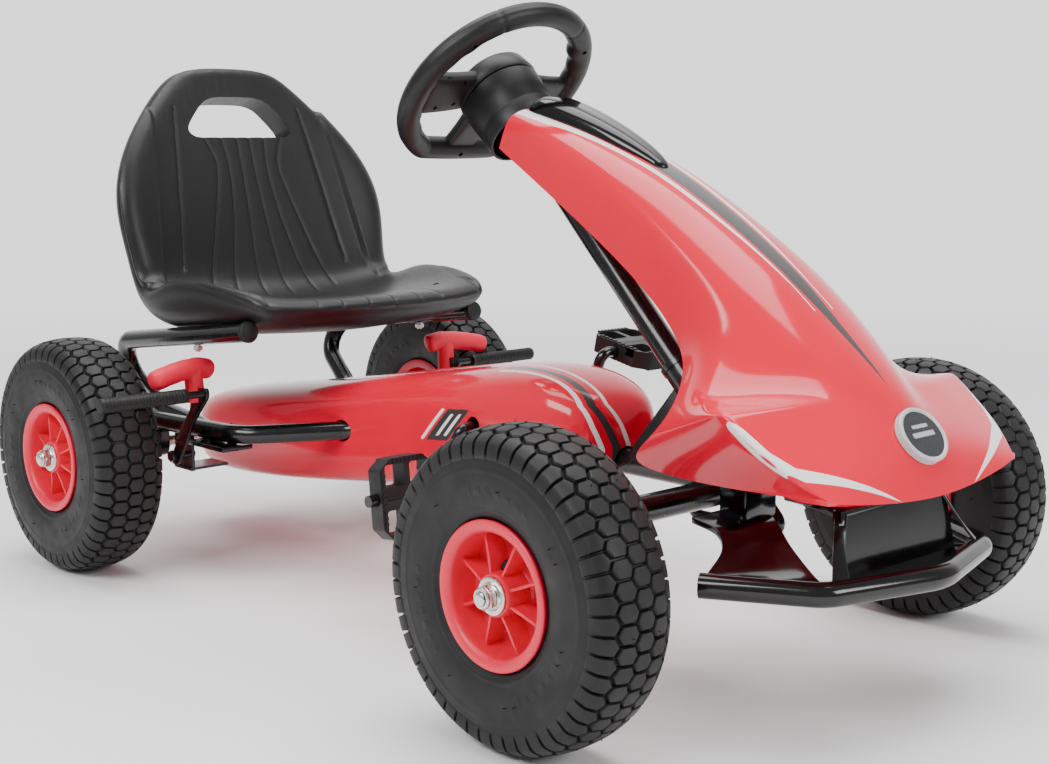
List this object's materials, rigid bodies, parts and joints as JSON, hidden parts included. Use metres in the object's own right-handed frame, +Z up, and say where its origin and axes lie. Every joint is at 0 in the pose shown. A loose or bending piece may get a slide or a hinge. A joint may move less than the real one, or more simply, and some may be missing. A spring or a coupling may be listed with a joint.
{
  "type": "pedal go kart",
  "caption": "Child's pedal go kart: tube frame, moulded seat, hood with neck cover and bumper, steered pneumatic front wheels, chain drive under a cover, swinging hand brakes.",
  "frame": {"origin": "on the ground under the middle of the kart, half way along its length", "axes": "+X forwards to the bumper, +Y to the kart's left as the driver sits, +Z up"},
  "size_m": [1.0964, 0.656, 0.6205],
  "materials": {
    "zinc_plated_steel": "zinc plated",
    "black_paint": "gloss black paint",
    "red_soft_grip": "matte soft grip",
    "black_rubber": "matte",
    "black_gloss_plastic": "gloss",
    "chain_steel": "oiled",
    "red_plastic": "gloss",
    "badge_grey": "satin",
    "red_rim_plastic": "gloss",
    "black_satin_plastic": "satin, fine grain",
    "tyre_rubber": "matte"
  },
  "bodies": {
    "frame": {"front_beam": "black_paint", "backbone": "black_paint", "column_tube": "black_paint", "rear_arm_left": "black_paint", "rear_arm_right": "black_paint", "bearing_left": "black_paint", "bearing_right": "black_paint", "chain": "chain_steel", "chain_cover": "red_plastic", "seat_rail_left": "black_paint", "seat_rail_right": "black_paint", "rail_cap_left": "black_rubber", "rail_cap_right": "black_rubber", "seat": "black_satin_plastic", "seat_bolt_left": "zinc_plated_steel", "seat_bolt_right": "zinc_plated_steel", "hood": "red_plastic", "neck_cover": "black_gloss_plastic", "nose_badge": "badge_grey", "bumper": "black_gloss_plastic"},
    "steering": {"steering_rod": "black_paint", "steering_wheel": "black_satin_plastic", "steering_boss": "black_satin_plastic"},
    "knuckle_left": {"knuckle_left": "black_paint"},
    "knuckle_right": {"knuckle_right": "black_paint"},
    "tie_left": {"tie_rod_left": "black_paint"},
    "tie_right": {"tie_rod_right": "black_paint"},
    "front_wheel_left": {"tyre_front_left": "tyre_rubber", "rim_front_left": "red_rim_plastic", "hub_washer_front_left": "zinc_plated_steel", "axle_nut_front_left": "zinc_plated_steel"},
    "front_wheel_right": {"tyre_front_right": "tyre_rubber", "rim_front_right": "red_rim_plastic", "hub_washer_front_right": "zinc_plated_steel", "axle_nut_front_right": "zinc_plated_steel"},
    "drive_axle": {"rear_axle": "zinc_plated_steel", "rear_sprocket": "chain_steel", "tyre_rear_left": "tyre_rubber", "rim_rear_left": "red_rim_plastic", "hub_washer_rear_left": "zinc_plated_steel", "axle_nut_rear_left": "zinc_plated_steel"},
    "free_rear_wheel": {"tyre_rear_right": "tyre_rubber", "rim_rear_right": "red_rim_plastic", "hub_washer_rear_right": "zinc_plated_steel", "axle_nut_rear_right": "zinc_plated_steel"},
    "crankset": {"crank": "black_paint", "chainring": "chain_steel"},
    "pedal_left": {"pedal_left": "black_rubber"},
    "pedal_right": {"pedal_right": "black_rubber"},
    "brake_left": {"brake_lever_left": "black_paint", "brake_sleeve_left": "black_rubber", "brake_grip_left": "red_soft_grip"},
    "brake_right": {"brake_lever_right": "black_paint", "brake_sleeve_right": "black_rubber", "brake_grip_right": "red_soft_grip"}
  },
  "joints": [
    {"name": "steering_turn", "type": "hinge", "parent": "frame", "child": "steering", "pos_m": [-0.00382, 0, 0.53922], "axis": [-0.693, 0, 0.7209], "range_deg": [-25, 25]},
    {"name": "kingpin_left", "type": "hinge", "parent": "frame", "child": "knuckle_left", "pos_m": [0.33574, 0.205, 0.1675], "axis": [0, 0, 1], "range_deg": [-27, 27]},
    {"name": "tie_rod_left", "type": "hinge", "parent": "knuckle_left", "child": "tie_left", "pos_m": [0.27224, 0.205, 0.154], "axis": [0, 0, 1], "range_deg": [-27, 27]},
    {"name": "front_wheel_left_spin", "type": "hinge", "parent": "knuckle_left", "child": "front_wheel_left", "pos_m": [0.33574, 0.279, 0.1325], "axis": [0, 1, 0], "continuous": true},
    {"name": "kingpin_right", "type": "hinge", "parent": "frame", "child": "knuckle_right", "pos_m": [0.33574, -0.205, 0.1675], "axis": [0, 0, 1], "range_deg": [-27, 27]},
    {"name": "tie_rod_right", "type": "hinge", "parent": "knuckle_right", "child": "tie_right", "pos_m": [0.27224, -0.205, 0.154], "axis": [0, 0, 1], "range_deg": [-27, 27]},
    {"name": "front_wheel_right_spin", "type": "hinge", "parent": "knuckle_right", "child": "front_wheel_right", "pos_m": [0.33574, -0.279, 0.1325], "axis": [0, 1, 0], "continuous": true},
    {"name": "rear_axle_spin", "type": "hinge", "parent": "frame", "child": "drive_axle", "pos_m": [-0.41526, 0, 0.1325], "axis": [0, 1, 0], "continuous": true},
    {"name": "rear_wheel_right_spin", "type": "hinge", "parent": "drive_axle", "child": "free_rear_wheel", "pos_m": [-0.41526, -0.27, 0.1325], "axis": [0, 1, 0], "continuous": true},
    {"name": "crank_spin", "type": "hinge", "parent": "frame", "child": "crankset", "pos_m": [0.03924, 0, 0.198], "axis": [0, 1, 0], "continuous": true},
    {"name": "pedal_left_spin", "type": "hinge", "parent": "crankset", "child": "pedal_left", "pos_m": [0.0652, 0.142, 0.26193], "axis": [0, 1, 0], "continuous": true},
    {"name": "pedal_right_spin", "type": "hinge", "parent": "crankset", "child": "pedal_right", "pos_m": [0.01328, -0.142, 0.13407], "axis": [0, 1, 0], "continuous": true},
    {"name": "brake_left_swing", "type": "hinge", "parent": "frame", "child": "brake_left", "pos_m": [-0.34776, 0.184, 0.128], "axis": [0, -1, 0], "range_deg": [0, 10]},
    {"name": "brake_right_swing", "type": "hinge", "parent": "frame", "child": "brake_right", "pos_m": [-0.34776, -0.184, 0.128], "axis": [0, -1, 0], "range_deg": [0, 10]}
  ],
  "couplings": [
    {"joint": "kingpin_left", "follows": "steering_turn", "ratio": 1.07},
    {"joint": "kingpin_right", "follows": "steering_turn", "ratio": 1.07},
    {"joint": "tie_rod_left", "follows": "steering_turn", "ratio": -1.07},
    {"joint": "tie_rod_right", "follows": "steering_turn", "ratio": -1.07},
    {"joint": "crank_spin", "follows": "rear_axle_spin", "ratio": 0.66667}
  ]
}
